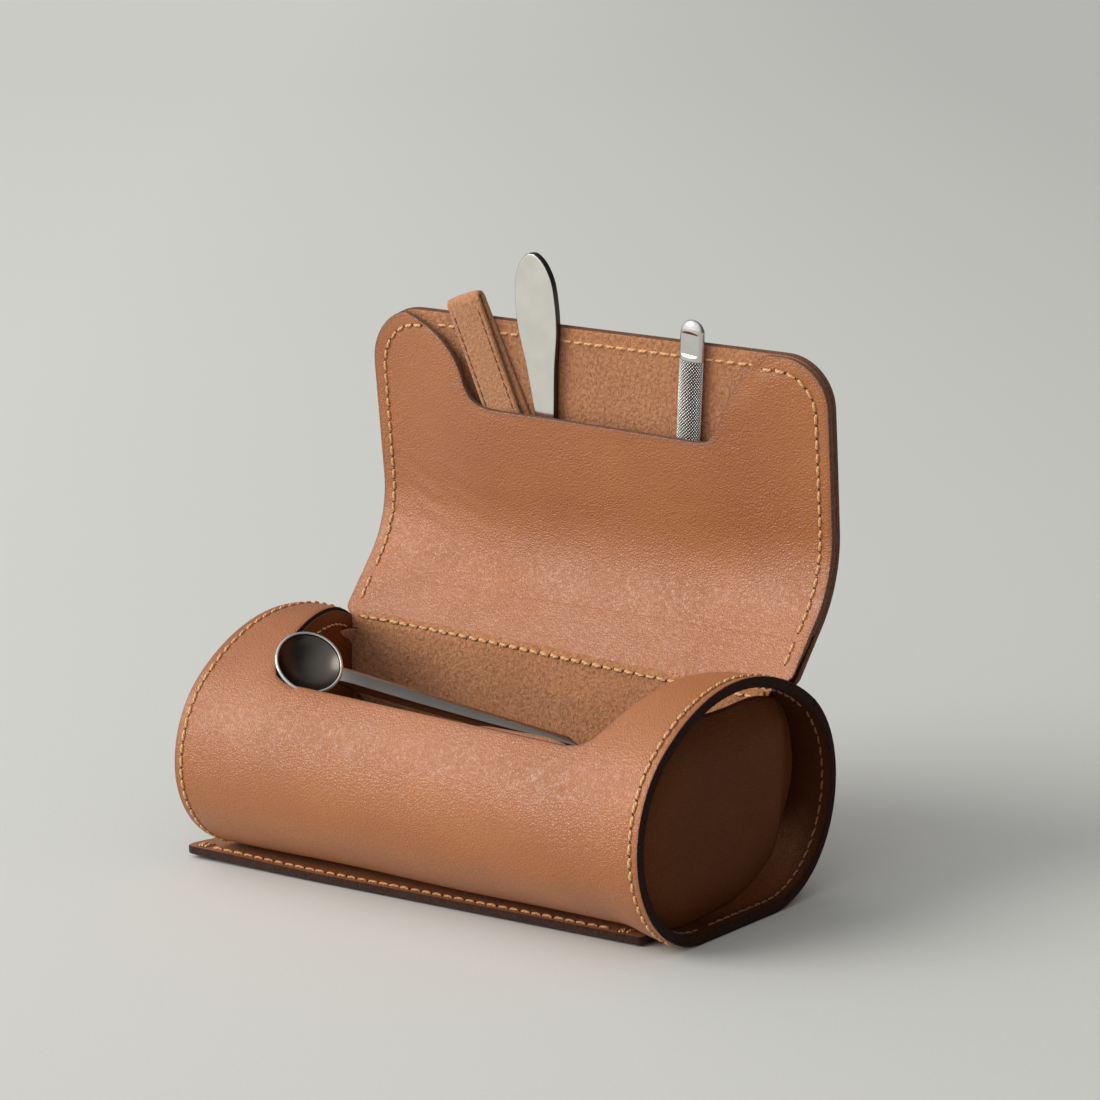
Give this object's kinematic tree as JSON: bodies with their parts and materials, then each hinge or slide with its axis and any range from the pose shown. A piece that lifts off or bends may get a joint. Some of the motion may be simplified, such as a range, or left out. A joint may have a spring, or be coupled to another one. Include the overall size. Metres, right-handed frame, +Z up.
{
  "type": "grooming tool case",
  "caption": "Tan leather barrel case for grooming tools, with a window and suede pouch in its side and a raised lid whose pocket holds a spatula, a file and a strap.",
  "frame": {"origin": "on the floor under the middle of the barrel, on the flat of its base", "axes": "+X along the barrel to its right end, +Y to the back where the lid is hinged, +Z up"},
  "size_m": [0.158, 0.0914, 0.162],
  "materials": {
    "tan_leather": "grained, satin",
    "dark_leather": "smooth, satin",
    "suede": "napped, matte",
    "strap_suede": "napped, matte",
    "brushed_steel": "brushed",
    "polished_steel": "polished"
  },
  "bodies": {
    "case": {"front_shell": "tan_leather", "back_panel": "tan_leather", "foot_strip": "tan_leather", "pouch_sheet": "suede", "end_panel_right": "dark_leather", "end_panel_left": "dark_leather", "pouch_divider": "suede", "lid_tail": "tan_leather"},
    "lid_lower": {"lid_outer_lower": "tan_leather", "lid_lining_lower": "suede", "lid_pocket_lower": "tan_leather"},
    "lid_upper": {"lid_outer_upper": "tan_leather", "lid_lining_upper": "suede", "lid_pocket_upper": "tan_leather"},
    "spatula": {"spatula": "brushed_steel"},
    "file": {"knurled_file": "polished_steel"},
    "strap": {"suede_strap": "strap_suede"},
    "scoop": {"scoop": "polished_steel"}
  },
  "joints": [
    {"name": "lid_hinge", "type": "hinge", "parent": "case", "child": "lid_lower", "pos_m": [0, 0.02761, 0.05742], "axis": [-1, 0, 0], "range_deg": [-88, 20]},
    {"name": "flap_bend", "type": "hinge", "parent": "lid_lower", "child": "lid_upper", "pos_m": [0, 0.04235, 0.09485], "axis": [-1, 0, 0], "range_deg": [-14.5, 3.5]},
    {"name": "spatula_draw", "type": "slide", "parent": "lid_upper", "child": "spatula", "axis": [-0.0052, -0.1305, 0.9914], "range_m": [0, 0.03]},
    {"name": "file_draw", "type": "slide", "parent": "lid_upper", "child": "file", "axis": [0.1288, -0.1294, 0.9832], "range_m": [0, 0.03]},
    {"name": "strap_draw", "type": "slide", "parent": "lid_upper", "child": "strap", "axis": [-0.3206, -0.1236, 0.9391], "range_m": [0, 0.03]},
    {"name": "scoop_lift", "type": "slide", "parent": "case", "child": "scoop", "axis": [0, -0.5, 0.866], "range_m": [0, 0.06]}
  ],
  "couplings": [
    {"joint": "flap_bend", "follows": "lid_hinge", "ratio": 0.16}
  ]
}
